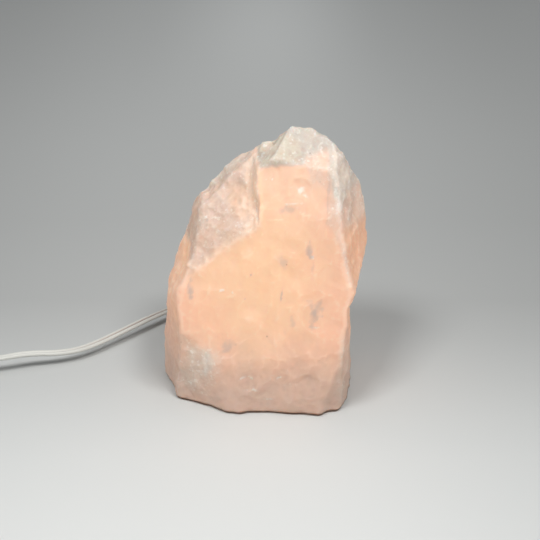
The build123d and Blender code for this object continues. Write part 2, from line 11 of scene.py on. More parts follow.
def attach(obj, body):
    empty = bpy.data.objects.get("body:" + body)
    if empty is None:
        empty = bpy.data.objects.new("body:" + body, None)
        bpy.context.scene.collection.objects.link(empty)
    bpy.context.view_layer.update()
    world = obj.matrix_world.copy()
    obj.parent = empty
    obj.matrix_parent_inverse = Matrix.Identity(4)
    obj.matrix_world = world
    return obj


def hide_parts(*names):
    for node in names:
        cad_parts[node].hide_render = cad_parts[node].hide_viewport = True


# Quartz crystal lamp: a rough lit block of rose quartz, its bulb and holder, and a flat white
# cord with a switch and a plug. Lengths are in metres, as in the frame, where no comment says
# millimetres.

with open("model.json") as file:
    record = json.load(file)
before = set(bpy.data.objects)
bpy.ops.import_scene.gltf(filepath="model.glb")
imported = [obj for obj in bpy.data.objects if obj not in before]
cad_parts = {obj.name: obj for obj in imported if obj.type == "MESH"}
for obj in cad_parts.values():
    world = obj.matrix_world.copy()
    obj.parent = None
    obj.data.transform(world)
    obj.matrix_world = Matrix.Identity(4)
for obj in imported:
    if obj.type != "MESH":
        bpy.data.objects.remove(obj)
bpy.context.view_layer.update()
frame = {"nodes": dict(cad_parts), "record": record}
millimetre = 0.001


# Camera, at the photograph's viewing angle

camera = {"aim": Vector((0.0034, -0.0031, 0.079)), "distance": 0.8, "elevation": 27.0, "lens": 85.0,
          "sensor": 36.0, "nearest": 0.01, "farthest": 20.0}


def addObject(name, data):
    made = bpy.data.objects.new(name, data)
    bpy.context.collection.objects.link(made)
    return made


def placeCamera():
    rise = math.radians(camera["elevation"])
    data = bpy.data.cameras.new("camera")
    data.lens, data.sensor_width = camera["lens"], camera["sensor"]
    data.clip_start, data.clip_end = camera["nearest"], camera["farthest"]
    stand = addObject("camera", data)
    stand.location = camera["aim"] + camera["distance"] * Vector((0, -math.cos(rise), math.sin(rise)))
    stand.rotation_euler = (math.pi / 2 - rise, 0, 0)
    bpy.context.scene.camera = stand


placeCamera()
print("camera placed")


# Small helpers for nodes, meshes and pieces

def fill(tree, socket, value):
    # Colours are written without their alpha.
    if isinstance(value, bpy.types.NodeSocket):
        tree.links.new(value, socket)
    elif socket.type == "RGBA":
        socket.default_value = (*value, 1)
    else:
        socket.default_value = value


def addNode(tree, kind, sockets=(), **settings):
    made = tree.nodes.new("ShaderNode" + kind)
    for name, value in settings.items():
        setattr(made, name, value)
    for name, value in dict(sockets).items():
        fill(tree, made.inputs[name], value)
    return made


def maths(tree, operation, *values, clamp=False):
    return addNode(tree, "Math", enumerate(values), operation=operation, use_clamp=clamp).outputs[0]


def mixColors(tree, share, first, second, blend="MIX"):
    return addNode(tree, "Mix", {0: share, 6: first, 7: second}, data_type="RGBA", blend_type=blend,
                   clamp_factor=True).outputs[2]


def rampMask(tree, value, low, high):
    made = addNode(tree, "MapRange", {"Value": value, "From Min": low, "From Max": high},
                   interpolation_type="SMOOTHSTEP")
    return made.outputs["Result"]


def objectPoint(tree, stretch=None):
    coordinate = addNode(tree, "TexCoord").outputs["Object"]
    if stretch is None:
        return coordinate
    return addNode(tree, "Mapping", {"Vector": coordinate, "Scale": stretch}).outputs[0]


def noise(tree, point, scale, detail, bend=0.0):
    return addNode(tree, "TexNoise", {
        "Vector": point, "Scale": scale, "Detail": detail, "Distortion": bend}).outputs["Fac"]


def newMaterial(name):
    made = bpy.data.materials.new(name)
    made.use_nodes = True
    made.node_tree.nodes.clear()
    return made, made.node_tree


def closeMaterial(material, sockets):
    tree = material.node_tree
    shader = addNode(tree, "BsdfPrincipled", sockets)
    addNode(tree, "OutputMaterial", {"Surface": shader.outputs[0]})
    return material


def newMesh(name, bm, material):
    mesh = bpy.data.meshes.new(name)
    bm.to_mesh(mesh)
    bm.free()
    mesh.materials.append(material)
    return addObject(name, mesh)


def newPiece(name, bm, body, slotName, smooth=True):
    piece = newMesh(name, bm, materials[slotName])
    for face in piece.data.polygons:
        face.use_smooth = smooth
    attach(piece, body)
    return piece


def readVectors(collection, name):
    values = np.empty(len(collection) * 3)
    collection.foreach_get(name, values)
    return values.reshape(-1, 3)


def writeValues(mesh, name, values):
    mesh.attributes.new(name, "FLOAT", "POINT").data.foreach_set("value", values)


# Shared shader effects

scuffs = {"halfWidth": 0.03, "patchScale": 120.0, "patches": (0.5, 0.7)}


def newGroup(name, inputs, outputs):
    # Each group takes a Vector and numbers, given with their defaults, and makes numbers.
    group = bpy.data.node_groups.new(name, "ShaderNodeTree")
    group.interface.new_socket("Vector", in_out="INPUT", socket_type="NodeSocketVector")
    for socketName, value in inputs.items():
        socket = group.interface.new_socket(socketName, in_out="INPUT", socket_type="NodeSocketFloat")
        socket.default_value = value
    for socketName in outputs:
        group.interface.new_socket(socketName, in_out="OUTPUT", socket_type="NodeSocketFloat")
    return group, group.nodes.new("NodeGroupInput").outputs, group.nodes.new("NodeGroupOutput").inputs


def makeCloudMask():
    # Soft patches: 0 outside them and 1 inside.
    group, given, result = newGroup(
        "cloudMask", {"Scale": 100.0, "Detail": 3.0, "Bend": 0.0, "Low": 0.4, "High": 0.6}, ["Mask"])
    cloud = noise(group, given["Vector"], given["Scale"], given["Detail"], given["Bend"])
    group.links.new(rampMask(group, cloud, given["Low"], given["High"]), result["Mask"])
    return group


def makeGrain():
    # Fine moulded or drawn skin: a height, and a mottle that stays near 1.
    group, given, result = newGroup(
        "grain", {"Scale": 1500.0, "Mottle Scale": 70.0, "Mottle": 0.10}, ["Height", "Mottle"])
    group.links.new(noise(group, given["Vector"], given["Scale"], 2.0), result["Height"])
    spread = maths(group, "SUBTRACT", noise(group, given["Vector"], given["Mottle Scale"], 3.0), 0.5)
    spread = maths(group, "MULTIPLY", spread, given["Mottle"])
    group.links.new(maths(group, "ADD", spread, 1.0), result["Mottle"])
    return group


def makeWear():
    # Scuffs and handling marks: a mask of thin, broken scratches.
    group, given, result = newGroup("wear", {"Scale": 420.0, "Amount": 0.3}, ["Mask"])
    scratch = addNode(group, "TexVoronoi", {"Vector": given["Vector"], "Scale": given["Scale"]},
                      feature="DISTANCE_TO_EDGE").outputs["Distance"]
    thin = maths(group, "LESS_THAN", scratch, scuffs["halfWidth"])
    kept = rampMask(group, noise(group, given["Vector"], scuffs["patchScale"], 4.0), *scuffs["patches"])
    mask = maths(group, "MULTIPLY", maths(group, "MULTIPLY", thin, kept), given["Amount"])
    group.links.new(mask, result["Mask"])
    return group


groups = {"cloudMask": makeCloudMask(), "grain": makeGrain(), "wear": makeWear()}


def useGroup(tree, name, **sockets):
    made = addNode(tree, "Group", node_tree=groups[name])
    for socketName, value in sockets.items():
        fill(tree, made.inputs[socketName.replace("_", " ")], value)
    return made.outputs


def clouds(tree, point, scale, low, high, detail=3.0, bend=0.0):
    return useGroup(tree, "cloudMask", Vector=point, Scale=scale, Detail=detail, Bend=bend,
                    Low=low, High=high)["Mask"]


def bump(tree, height, distance, strength=1.0):
    return addNode(tree, "Bump", {
        "Height": height, "Distance": distance, "Strength": strength}).outputs["Normal"]


print("shader groups made")


# Rose quartz

quartz = {
    "bulb": (0.0, 0.003, 0.072), "bulbReach": (0.074, 0.030), "squat": 0.60,
    "plainColor": (0.60, 0.445, 0.35), "pinkColor": (0.58, 0.395, 0.32),
    "paleColor": (0.64, 0.51, 0.44), "lowColor": (0.68, 0.495, 0.405),
    "blushColor": (0.66, 0.48, 0.40), "frostColor": (0.62, 0.555, 0.50),
    "creamColor": (0.66, 0.59, 0.475), "whiteColor": (0.80, 0.76, 0.71),
    # The last colour on the next line is a painted contact shadow for the stone's foot.
    "veilColor": (0.47, 0.41, 0.41), "speckColor": (0.34, 0.20, 0.13), "contactShadowColor": (0.32, 0.21, 0.165),
    "haze": (0.105, 0.150), "low": (0.066, 0.012), "rim": (0.0029, 0.0017), "paleShare": 0.9,
    "lowShare": 0.85,
    "glowNear": (1.0, 0.49, 0.17), "glowFar": (1.0, 0.43, 0.19), "glowCrust": (1.0, 0.78, 0.60),
    "glowLevel": (0.006, 0.066), "glowStrength": 0.455, "glowAtFoot": 0.20, "glowAway": 0.84,
    # Where each mask starts and is full
    "edge": (0.10, 0.90), "hollow": (-0.10, -0.90), "crust": (0.12, 0.95), "white": (0.25, 1.0),
    "patch": (-0.35, 0.65), "blush": (0.50, 0.85), "bright": (0.10, 1.40), "rare": (0.84, 0.85),
    "speck": (0.075, 0.030), "glint": (0.93, 0.96),
    "scales": {"broad": 95.0, "sugar": 800.0, "fibre": 210.0, "patch": 52.0, "haze": 75.0, "low": 60.0,
               "level": 42.0, "drift": 38.0, "ripple": 240.0, "pit": 95.0, "grain": 760.0},
    "fibreStretch": (1.0, 1.0, 0.30),
    "roughness": 0.42, "crustRoughness": 0.22, "glintPolish": 0.30, "bumpHeight": 0.0005, "bumpStrength": 0.7,
    "index": 1.54, "subsurface": 0.35, "subsurfaceRadius": (1.0, 0.45, 0.28), "subsurfaceScale": 0.006,
}


def attribute(tree, name):
    return addNode(tree, "Attribute", attribute_name=name).outputs["Fac"]


def quartzMaterial():
    values = quartz
    material, tree = newMaterial("roseQuartz")
    point = objectPoint(tree)
    frost, veil, white, cream, lit, relief = [
        attribute(tree, name) for name in ("frost", "veil", "white", "cream", "lit", "relief")]

    def times(first, second, clamp=False):
        return maths(tree, "MULTIPLY", first, second, clamp=clamp)

    def plus(first, second):
        return maths(tree, "ADD", first, second)

    def highest(first, second):
        return maths(tree, "MAXIMUM", first, second)

    def tinted(share, under, name):
        return mixColors(tree, share, under, values[name + "Color"])

    def less(amount, share):
        # 1 where the amount is 0, and less where it is higher
        return maths(tree, "SUBTRACT", 1.0, times(amount, share), clamp=True)

    def cloudy(name, detail=4.0, at=point):
        # Noise from about -1 to 1
        return times(maths(tree, "SUBTRACT", noise(tree, at, values["scales"][name], detail), 0.5), 3.0)

    def mask(name, amount):
        return rampMask(tree, amount, *values[name])

    def cells(name):
        return addNode(tree, "TexVoronoi", {"Vector": point, "Scale": values["scales"][name]}).outputs

    def channel(color, name):
        return addNode(tree, "SeparateColor", {"Color": color}).outputs[name]

    # Crust of small fractures: white and sugary
    broad = cloudy("broad")
    sugar = cloudy("sugar", 3.0)
    # Relief: the ridges turn paler and whiter, as frosted edges with a painted highlight, and the hollows
    # pinker, as painted shade
    edges = mask("edge", relief)
    hollows = mask("hollow", relief)
    crust = mask("crust", plus(frost, plus(times(broad, 0.26), times(sugar, 0.14))))
    crust = highest(crust, times(mask("white", plus(white, times(sugar, 0.35))), 0.85))

    # Colour of the stone itself, with painted light and shade where marked
    level = addNode(tree, "SeparateXYZ", {"Vector": point}).outputs["Z"]
    bulb = addNode(tree, "VectorMath", {0: point, 1: values["bulb"]}, operation="SUBTRACT").outputs[0]
    bulb = addNode(tree, "Mapping", {"Vector": bulb, "Scale": (1, 1, values["squat"])}).outputs[0]
    near = mask("bulbReach", addNode(tree, "VectorMath", {0: bulb}, operation="LENGTH").outputs["Value"])
    fibres = cloudy("fibre", at=objectPoint(tree, values["fibreStretch"]))
    # Random pink patches, and pinker away from the bulb: painted light from the bulb inside
    patches = plus(cloudy("patch"), times(maths(tree, "SUBTRACT", 0.55, near), 0.9))
    color = tinted(mask("patch", patches), values["plainColor"], "pink")
    haze = plus(mask("haze", level), times(cloudy("haze"), 0.25))
    haze = plus(haze, plus(times(mask("edge", fibres), 0.30), times(edges, 0.8)))
    color = tinted(times(haze, values["paleShare"], clamp=True), color, "pale")
    low = plus(mask("low", level), times(cloudy("low"), 0.2))
    color = tinted(times(low, values["lowShare"], clamp=True), color, "low")
    crusted = tinted(mask("blush", frost), values["blushColor"], "frost")
    crusted = tinted(cream, crusted, "cream")
    bright = mask("bright", plus(plus(times(sugar, 0.8), times(broad, 0.6)), times(relief, 0.6)))
    bright = highest(times(bright, times(frost, 0.8)), times(white, 0.8))
    crusted = tinted(bright, crusted, "white")
    color = mixColors(tree, crust, color, crusted)
    # Painted shade: the hollows turn pinker and a little darker
    color = tinted(times(hollows, 0.35), color, "pink")
    color = tinted(times(veil, 0.7), color, "veil")
    pits = cells("pit")
    speck = times(mask("speck", plus(pits["Distance"], times(sugar, 0.015))),
                  mask("rare", channel(pits["Color"], "Green")))
    color = tinted(times(speck, 0.45), color, "speck")
    # Painted contact shadow: a dark brown band along the foot, where the stone meets the floor
    color = tinted(mask("rim", level), color, "contactShadow")

    # Light from the bulb inside: strong where the stone is thin, and weak below the holder's top
    level = plus(level, plus(times(cloudy("level"), 0.008), times(sugar, 0.001)))
    band = mask("glowLevel", level)
    glow = times(plus(values["glowAway"], times(near, 1 - values["glowAway"])),
                 plus(values["glowAtFoot"], times(band, 1 - values["glowAtFoot"])))
    glow = times(times(glow, lit), plus(1.0, plus(times(cloudy("drift"), 0.12), times(fibres, 0.05))))
    glow = times(times(glow, less(crust, 0.30)), times(less(veil, 0.55), less(speck, 0.3)))
    # Painted highlight and shade: the glow is a little stronger on ridges and weaker in hollows
    glow = times(times(glow, plus(1.0, times(relief, 0.10))), values["glowStrength"])
    tint = mixColors(tree, times(near, band), values["glowFar"], values["glowNear"])
    tint = mixColors(tree, times(crust, 0.9), tint, values["glowCrust"])
    light = addNode(tree, "VectorMath", {0: tint, "Scale": glow}, operation="SCALE")

    # Skin: faint ripples on the clear faces, fracture grains on the frosted ones
    facet = channel(cells("grain")["Color"], "Red")
    height = plus(times(cloudy("ripple"), plus(0.15, times(crust, 0.5))), times(times(facet, crust), 0.8))
    glint = times(mask("glint", facet), plus(0.05, crust), clamp=True)
    rough = maths(tree, "SUBTRACT", plus(values["roughness"], times(crust, values["crustRoughness"])),
                  times(glint, values["glintPolish"]), clamp=True)
    # The base colour is whitened at the glints: a painted sparkle highlight over the polished grains
    return closeMaterial(material, {
        "Base Color": tinted(times(glint, 0.6), color, "white"),
        "Roughness": rough, "Emission Color": light.outputs[0],
        "Emission Strength": 1.0, "Subsurface Weight": values["subsurface"],
        "Subsurface Radius": values["subsurfaceRadius"], "Subsurface Scale": values["subsurfaceScale"],
        "IOR": values["index"], "Normal": bump(tree, height, values["bumpHeight"], values["bumpStrength"])})


# Plastics, metals, glass and felt

# Colour, roughness, grain's scale and depth, and wear; the cord's also has a painted reflection of the lit
# stone, with painted shade, in its groove
plastics = {
    "white_plastic": ((0.80, 0.80, 0.765), 0.38, 2200.0, 0.00004, 0.05),
    "rocker_plastic": ((0.83, 0.83, 0.80), 0.30, 2600.0, 0.00002, 0.08),
    "plug_vinyl": ((0.77, 0.78, 0.745), 0.46, 1800.0, 0.00005, 0.05),
    "white_vinyl": ((0.67, 0.67, 0.63), 0.42, 1500.0, 0.00003, 0.0, (0.20, 0.085, 0.05)),
    "core_insulation": ((0.78, 0.79, 0.76), 0.45, 2000.0, 0.00002, 0.0),
    "tie_film": ((0.84, 0.84, 0.82), 0.25, 900.0, 0.00006, 0.0),
    "black_phenolic": ((0.030, 0.028, 0.027), 0.42, 2400.0, 0.00005, 0.10),
    "black_phenolic_cap": ((0.034, 0.031, 0.030), 0.46, 2400.0, 0.00006, 0.10),
    "black_glass": ((0.022, 0.022, 0.025), 0.12, 1200.0, 0.00003, 0.0),
}
# Colour, tarnished colour, roughness and wear
metals = {
    "socket_brass": ((0.78, 0.58, 0.27), (0.45, 0.30, 0.14), 0.28, 0.3),
    "contact_brass": ((0.76, 0.57, 0.29), (0.48, 0.33, 0.16), 0.34, 0.3),
    "blade_brass": ((0.72, 0.64, 0.47), (0.52, 0.44, 0.30), 0.26, 0.5),
    "spring_steel": ((0.62, 0.63, 0.64), (0.40, 0.40, 0.41), 0.30, 0.5),
    "zinc_steel": ((0.66, 0.66, 0.68), (0.46, 0.47, 0.50), 0.38, 0.3),
    "nickel_cap": ((0.74, 0.72, 0.68), (0.50, 0.47, 0.42), 0.22, 0.4),
    "solder_tin": ((0.58, 0.58, 0.58), (0.36, 0.36, 0.37), 0.45, 0.1),
    "support_wire": ((0.50, 0.48, 0.45), (0.30, 0.28, 0.26), 0.35, 0.2),
}
# Colour, smoke-stained colour and roughness
glasses = {
    "bulb_glass": ((1.0, 0.95, 0.87), (0.93, 0.84, 0.70), 0.02),
    "stem_glass": ((0.90, 0.93, 0.92), (0.80, 0.84, 0.84), 0.08),
}
skins = {"scuffRoughness": 0.3, "index": 1.5}
patina = {"cloudScale": 180.0, "cloud": (0.45, 0.75), "drawn": (1, 1, 6), "drawnScale": 900.0,
          "mottleScale": 200.0, "mottle": 0.3, "markScale": 700.0, "share": 0.55, "dullRoughness": 0.18,
          "scuffRoughness": 0.2, "depth": 0.00002}
felt = {"color": (0.13, 0.125, 0.12), "lint": (0.30, 0.29, 0.28), "roughness": 0.95, "sheen": 0.3,
        "fibreScale": 1800.0, "fibre": (0.55, 0.7), "depth": 0.0003}
filament = {"hot": (1.0, 0.62, 0.22), "cool": (1.0, 0.36, 0.08), "wire": (0.25, 0.22, 0.20),
            "strength": 6.0, "wireRadius": 0.00007, "coilRadius": 0.00022, "coils": 48, "pointsEachCoil": 9,
            "wireSides": 5, "halfWidth": 0.004, "bottom": 0.0742, "rise": 0.006, "dip": 0.001,
            "setBack": 0.003}


def plasticMaterial(name, color, roughness, grain, depth, wear, reflectionAndShade=None):
    material, tree = newMaterial(name)
    point = objectPoint(tree)
    skin = useGroup(tree, "grain", Vector=point, Scale=grain)
    marks = useGroup(tree, "wear", Vector=point, Amount=wear)["Mask"]
    tone = mixColors(tree, 1.0, color, skin["Mottle"], blend="MULTIPLY")
    tone = mixColors(tree, marks, tone, [0.7 * part + 0.1 for part in color])
    # In the cord's groove: a painted reflection of the lit stone, with painted shade
    if reflectionAndShade:
        tone = mixColors(tree, attribute(tree, "groove"), tone, reflectionAndShade)
    rough = maths(tree, "MULTIPLY", skin["Mottle"], roughness)
    rough = maths(tree, "ADD", rough, maths(tree, "MULTIPLY", marks, skins["scuffRoughness"]), clamp=True)
    return closeMaterial(material, {"Base Color": tone, "Roughness": rough, "IOR": skins["index"],
                                    "Normal": bump(tree, skin["Height"], depth)})


def metalMaterial(name, color, dull, roughness, wear):
    material, tree = newMaterial(name)
    point = objectPoint(tree)
    tarnish = clouds(tree, point, patina["cloudScale"], *patina["cloud"], detail=5.0, bend=0.5)
    skin = useGroup(tree, "grain", Vector=objectPoint(tree, patina["drawn"]), Scale=patina["drawnScale"],
                    Mottle_Scale=patina["mottleScale"], Mottle=patina["mottle"])
    marks = useGroup(tree, "wear", Vector=point, Scale=patina["markScale"], Amount=wear)["Mask"]
    tone = mixColors(tree, maths(tree, "MULTIPLY", tarnish, patina["share"]), color, dull)
    rough = maths(tree, "MULTIPLY", skin["Mottle"], roughness)
    rough = maths(tree, "ADD", rough, maths(tree, "MULTIPLY", tarnish, patina["dullRoughness"]))
    rough = maths(tree, "ADD", rough, maths(tree, "MULTIPLY", marks, patina["scuffRoughness"]), clamp=True)
    return closeMaterial(material, {"Base Color": tone, "Roughness": rough, "Metallic": 1.0,
                                    "Normal": bump(tree, skin["Height"], patina["depth"])})


def glassMaterial(name, color, smoke, roughness):
    material, tree = newMaterial(name)
    haze = clouds(tree, objectPoint(tree), 60.0, 0.4, 0.7)
    return closeMaterial(material, {"Base Color": mixColors(tree, haze, color, smoke), "Roughness": roughness,
                                    "IOR": 1.45, "Transmission Weight": 1.0})


def feltMaterial():
    material, tree = newMaterial("greyFelt")
    fibre = noise(tree, objectPoint(tree), felt["fibreScale"], 6.0, 2.0)
    return closeMaterial(material, {
        "Base Color": mixColors(tree, rampMask(tree, fibre, *felt["fibre"]), felt["color"], felt["lint"]),
        "Roughness": felt["roughness"], "Sheen Weight": felt["sheen"],
        "Normal": bump(tree, fibre, felt["depth"])})


def filamentMaterial():
    material, tree = newMaterial("glowingFilament")
    hot = clouds(tree, objectPoint(tree), 160.0, 0.35, 0.6)
    return closeMaterial(material, {
        "Base Color": filament["wire"], "Roughness": 0.5,
        "Emission Color": mixColors(tree, hot, filament["cool"], filament["hot"]),
        "Emission Strength": filament["strength"]})


materials = {"rose_quartz": quartzMaterial(), "grey_felt": feltMaterial(),
             "glowing_filament": filamentMaterial()}
for table, make in ((plastics, plasticMaterial), (metals, metalMaterial), (glasses, glassMaterial)):
    for slotName, values in table.items():
        materials[slotName] = make(slotName, *values)
nodes = frame["nodes"]
for subpart in frame["record"]["subparts"]:
    for place in nodes[subpart["node"]].material_slots:
        place.material = materials[subpart["material_slot"]]
print("materials given to", len(nodes), "CAD nodes")


# Flat two-core cord

cord = {"width": 0.0052, "thickness": 0.0027, "coreOffset": 0.00125, "arcSteps": 12, "body": "cord_set",
        "resolution": 6, "leadLean": 12, "leadWaves": 22, "edgeUpAfter": 0.036,
        "grooveReach": (0.0013, 0.0008), "grooveShare": 0.9, "warm": (-0.145, -0.090)}
# Routes in millimetres
leadRoute = [
    (0, 3, 21), (0, 3, 14.4), (0, 3.6, 8.6), (0.2, 7.4, 4.2), (0.5, 14, 2.8), (-0.4, 24, 2.7),
    (0.5, 38, 2.8), (0, 54, 2.7), (-2.5, 70, 2.9), (-11.5, 84, 3.3), (-27.5, 91.5, 4.6), (-46, 88.7, 6.5),
    (-62, 78.7, 8.2), (-78, 63.8, 8.8), (-95, 45.8, 8.6), (-118, 22.5, 7.8), (-134.5, 13.2, 8.8),
    (-156.5, 8, 11.8), (-174.5, 1.5, 11.6), (-187.5, 0.4, 10.2), (-197, 0, 9.6), (-207.8, 0, 9.5)]
middleRoute = [
    (-262.2, 0, 9.5), (-270, 0, 9.5), (-279, 0.6, 7.8), (-288.5, 0.7, 4.8), (-297, 0, 3.4)]
tailRoute = [
    (-297, 66.15, 9.2), (-289, 65.3, 8.6), (-281, 65.1, 7.3), (-274, 66, 7), (-268, 66, 7)]
coil = {"start": (-0.303, 0.0), "endRun": 0.0065, "outerRadius": 0.0322, "pitch": 0.0035, "turnsIn": 4,
        "bottom": 0.0034, "layerRise": 0.0058, "pointsEachHalfTurn": 8}
halfTurns = 4 * coil["turnsIn"] + 1
climbEnd = 2 * coil["turnsIn"] + 1


def coilReach(step):
    # Distance from the coil's middle at the end of each half turn; the second layer starts one pitch out.
    turnedIn = step if step <= climbEnd else halfTurns - 1 - step
    return coil["outerRadius"] - turnedIn * coil["pitch"] / 2


def coilRoute():
    each = coil["pointsEachHalfTurn"]
    middle = Vector((coil["start"][0] - coil["endRun"], coil["start"][1] + coil["outerRadius"]))
    points = []
    for place in range(halfTurns * each + 1):
        step, part = divmod(place, each)
        share = part / each
        reach = coilReach(step) * (1 - share) + coilReach(min(step + 1, halfTurns)) * share
        reach /= math.cos(math.pi / 2 / each)
        climbed = min(max(place / each - (climbEnd - 1), 0), 1)
        angle = -math.pi / 2 - math.pi * place / each
        points.append((middle.x + reach * math.cos(angle), middle.y + reach * math.sin(angle),
                       coil["bottom"] + climbed * coil["layerRise"]))
    return points


def metres(route):
    return [[millimetre * part for part in point] for point in route]


def smoothRoute(points):
    # The route's own smooth line, as points along its NURBS spline.
    data = bpy.data.curves.new("route", "CURVE")
    data.dimensions = "3D"
    data.resolution_u = cord["resolution"]
    spline = data.splines.new("NURBS")
    spline.points.add(len(points) - 1)
    for place, point in zip(spline.points, points):
        place.co = (*point, 1)
    spline.order_u = 3
    spline.use_endpoint_u = True
    guide = bpy.data.objects.new("route", data)
    line = bpy.data.meshes.new_from_object(guide)
    found = [vertex.co.copy() for vertex in line.vertices]
    bpy.data.objects.remove(guide)
    bpy.data.meshes.remove(line)
    return found


def travelled(points):
    lengths = [0.0]
    for before, after in zip(points, points[1:]):
        lengths.append(lengths[-1] + (after - before).length)
    return lengths


def cordSection():
    # Two round cores side by side, with a groove between them.
    core = cord["thickness"] / 2
    offset = cord["coreOffset"]
    opening = math.acos(-offset / core)
    points = []
    for side in (1, -1):
        for step in range(cord["arcSteps"]):
            angle = -opening + 2 * opening * step / cord["arcSteps"]
            points.append(side * Vector((offset + core * math.cos(angle), core * math.sin(angle), 0)))
    return points


def cordFrames(points, lean):
    # lean gives how far the flat side is turned up, by the length travelled.
    frames = []
    side = Vector((1, 0, 0))
    for place, (point, distance) in enumerate(zip(points, travelled(points))):
        along = (points[min(place + 1, len(points) - 1)] - points[max(place - 1, 0)]).normalized()
        level = along.cross(Vector((0, 0, 1)))
        if level.length > 0.3:
            side = level.normalized() if level.dot(side) >= 0 else -level.normalized()
        side = (side - along * side.dot(along)).normalized()
        turned = Matrix.Rotation(lean(distance), 3, along) @ side
        up = along.cross(turned)
        turn = Matrix((turned, up, along)).transposed().to_4x4()
        frames.append(Matrix.Translation(point) @ turn)
    return frames


def sweepSection(bm, section, frames):
    verts = [bm.verts.new(frames[0] @ point) for point in section]
    edges = [bm.edges.new(pair) for pair in zip(verts, verts[1:] + verts[:1])]
    ends = list(edges)
    for before, after in zip(frames, frames[1:]):
        made = bmesh.ops.extrude_edge_only(bm, edges=edges)["geom"]
        verts = [part for part in made if isinstance(part, bmesh.types.BMVert)]
        fresh = set(verts)
        edges = [part for part in made if isinstance(part, bmesh.types.BMEdge) and set(part.verts) <= fresh]
        bmesh.ops.transform(bm, matrix=after @ before.inverted(), verts=verts)
    bmesh.ops.contextual_create(bm, geom=ends)
    bmesh.ops.contextual_create(bm, geom=edges)
    bmesh.ops.recalc_face_normals(bm, faces=bm.faces)


def makeCord(name, points, lean, replaced):
    bm = bmesh.new()
    sweepSection(bm, cordSection(), cordFrames(points, lean))
    piece = newPiece(name, bm, cord["body"], "white_vinyl")
    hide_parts(*replaced)
    return piece


def leadLean(distance):
    # The lead lies almost flat, and tips its flat side a little one way and then the other along its length.
    return math.radians(cord["leadLean"]) * math.sin(distance * cord["leadWaves"])


def warmGroove(piece, line):
    # Painted reflection of the lit stone, with painted shade: the groove between the cores turns brown near
    # the stone.
    route = np.array(line)
    points = readVectors(piece.data.vertices, "co")
    away = np.array([np.linalg.norm(route - point, axis=1).min() for point in points])
    shares = [np.clip((value - low) / (high - low), 0, 1) for value, (low, high) in (
        (away, cord["grooveReach"]), (points[:, 0], cord["warm"]))]
    writeValues(piece.data, "groove", shares[0] * shares[1] * cord["grooveShare"])


leadLine = smoothRoute(metres(leadRoute))
cordLead = makeCord("cordLead", leadLine, leadLean, ["cord_lead"])
warmGroove(cordLead, leadLine)

coilLine = coilRoute()
restLine = smoothRoute(metres(middleRoute) + [(*coil["start"], coil["bottom"])] + coilLine
                       + [(coil["start"][0], coilLine[-1][1], coilLine[-1][2])] + metres(tailRoute))
restLength = travelled(restLine)[-1]


def restLean(distance):
    # From lying flat at the switch to standing on edge in the coil, and back at the plug.
    share = min(distance, restLength - distance, cord["edgeUpAfter"]) / cord["edgeUpAfter"]
    return math.pi / 2 * (1 - math.cos(math.pi * share)) / 2


cordRest = makeCord("cordRest", restLine, restLean, ["cord_middle", "cord_coil", "cord_tail"])
print("cords made, lead", round(travelled(leadLine)[-1], 4), "rest", round(restLength, 4))

# Small parts: the plug's grips, the ties' twisted ends and the coiled filament

plug = {"middle": (-0.266, 0.066, 0.007), "neckRadius": 0.0034, "neckSpread": 0.152, "neckStart": -0.002,
        "rings": 3, "ringPitch": 0.0021, "ringDepth": 0.0009, "ringHeight": 0.0004, "ringSides": 40,
        "ribFrom": -0.2535, "ribPitch": 0.0027, "ribs": 4, "ribSize": (0.0012, 0.0009, 0.0086),
        "halfWidth": 0.012, "ribBevel": 0.0003}
tieEnds = {"places": (-0.3345, -0.2845), "start": 0.0330, "height": 0.0125, "length": 0.0125, "lift": 0.0013,
           "halfWidth": 0.0012, "halfThickness": 0.00022, "turns": 1.75, "steps": 42,
           "sway": 0.0016, "swayTurn": 2.6, "archTurn": 1.6, "archEnd": 0.75}


def makePlugGrips():
    bm = bmesh.new()
    middle = Vector(plug["middle"])
    for number in range(plug["rings"]):
        along = number * plug["ringPitch"]
        radius = plug["neckRadius"] + plug["ringHeight"] + plug["neckSpread"] * (along - plug["neckStart"])
        place = Matrix.Translation(middle + Vector((along, 0, 0))) @ Matrix.Rotation(math.pi / 2, 4, "Y")
        bmesh.ops.create_cone(bm, cap_ends=True, segments=plug["ringSides"], radius1=radius, radius2=radius,
                              depth=plug["ringDepth"], matrix=place)
    for side in (-1, 1):
        for number in range(plug["ribs"]):
            across = middle.y + side * plug["halfWidth"]
            place = Matrix.Translation((plug["ribFrom"] + number * plug["ribPitch"], across, middle.z))
            bmesh.ops.create_cube(bm, size=1, matrix=place @ Matrix.Diagonal((*plug["ribSize"], 1)))
    edges = [edge for edge in bm.edges if edge.calc_face_angle(0) > 1]
    bmesh.ops.bevel(bm, geom=edges, offset=plug["ribBevel"], segments=2, affect="EDGES", clamp_overlap=True)
    return newPiece("plugGrips", bm, cord["body"], "plug_vinyl")


def tieLean(distance):
    return math.tau * tieEnds["turns"] * distance / tieEnds["length"]


def makeTieEnds():
    # The two ends of each tie, twisted together and bent down onto the coil.
    bm = bmesh.new()
    wide, thin = tieEnds["halfWidth"], tieEnds["halfThickness"]
    section = [Vector((x, y, 0)) for x, y in ((wide, thin), (-wide, thin), (-wide, -thin), (wide, -thin))]
    for number, across in enumerate(tieEnds["places"]):
        line = []
        for step in range(tieEnds["steps"] + 1):
            share = step / tieEnds["steps"]
            sway = tieEnds["sway"] * math.sin(share * tieEnds["swayTurn"] + number * 2)
            arch = math.sin(math.pi * min(share * tieEnds["archTurn"], tieEnds["archEnd"]))
            line.append(Vector((across + sway, tieEnds["start"] + share * tieEnds["length"],
                                tieEnds["height"] + tieEnds["lift"] * arch)))
        sweepSection(bm, section, cordFrames(line, tieLean))
    return newPiece("tieEnds", bm, cord["body"], "tie_film", smooth=False)


